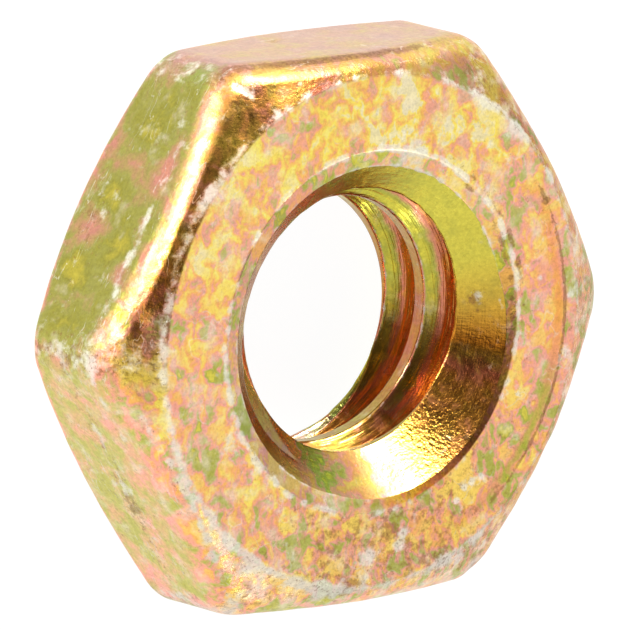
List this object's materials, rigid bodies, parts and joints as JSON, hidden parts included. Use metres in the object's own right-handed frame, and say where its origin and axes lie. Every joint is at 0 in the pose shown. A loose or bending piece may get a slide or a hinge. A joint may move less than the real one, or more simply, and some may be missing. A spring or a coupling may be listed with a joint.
{
  "type": "thin hex nut",
  "caption": "Thin hexagon nut with a coarse right-hand thread, chamfered on both faces, with a countersink at each end of the thread.",
  "frame": {"origin": "centre of the bottom bearing face, on the thread axis", "axes": "+Z along the thread axis towards the top face, +Y square to a wrench flat, +X through a corner"},
  "size_m": [0.0126, 0.0112, 0.0036],
  "materials": {
    "yellow_zinc_steel": "yellow zinc chromate over steel, iridescent gold, pink and green, rubbed grey along the edges"
  },
  "bodies": {
    "root": {"nut_body": "yellow_zinc_steel"}
  },
  "joints": []
}
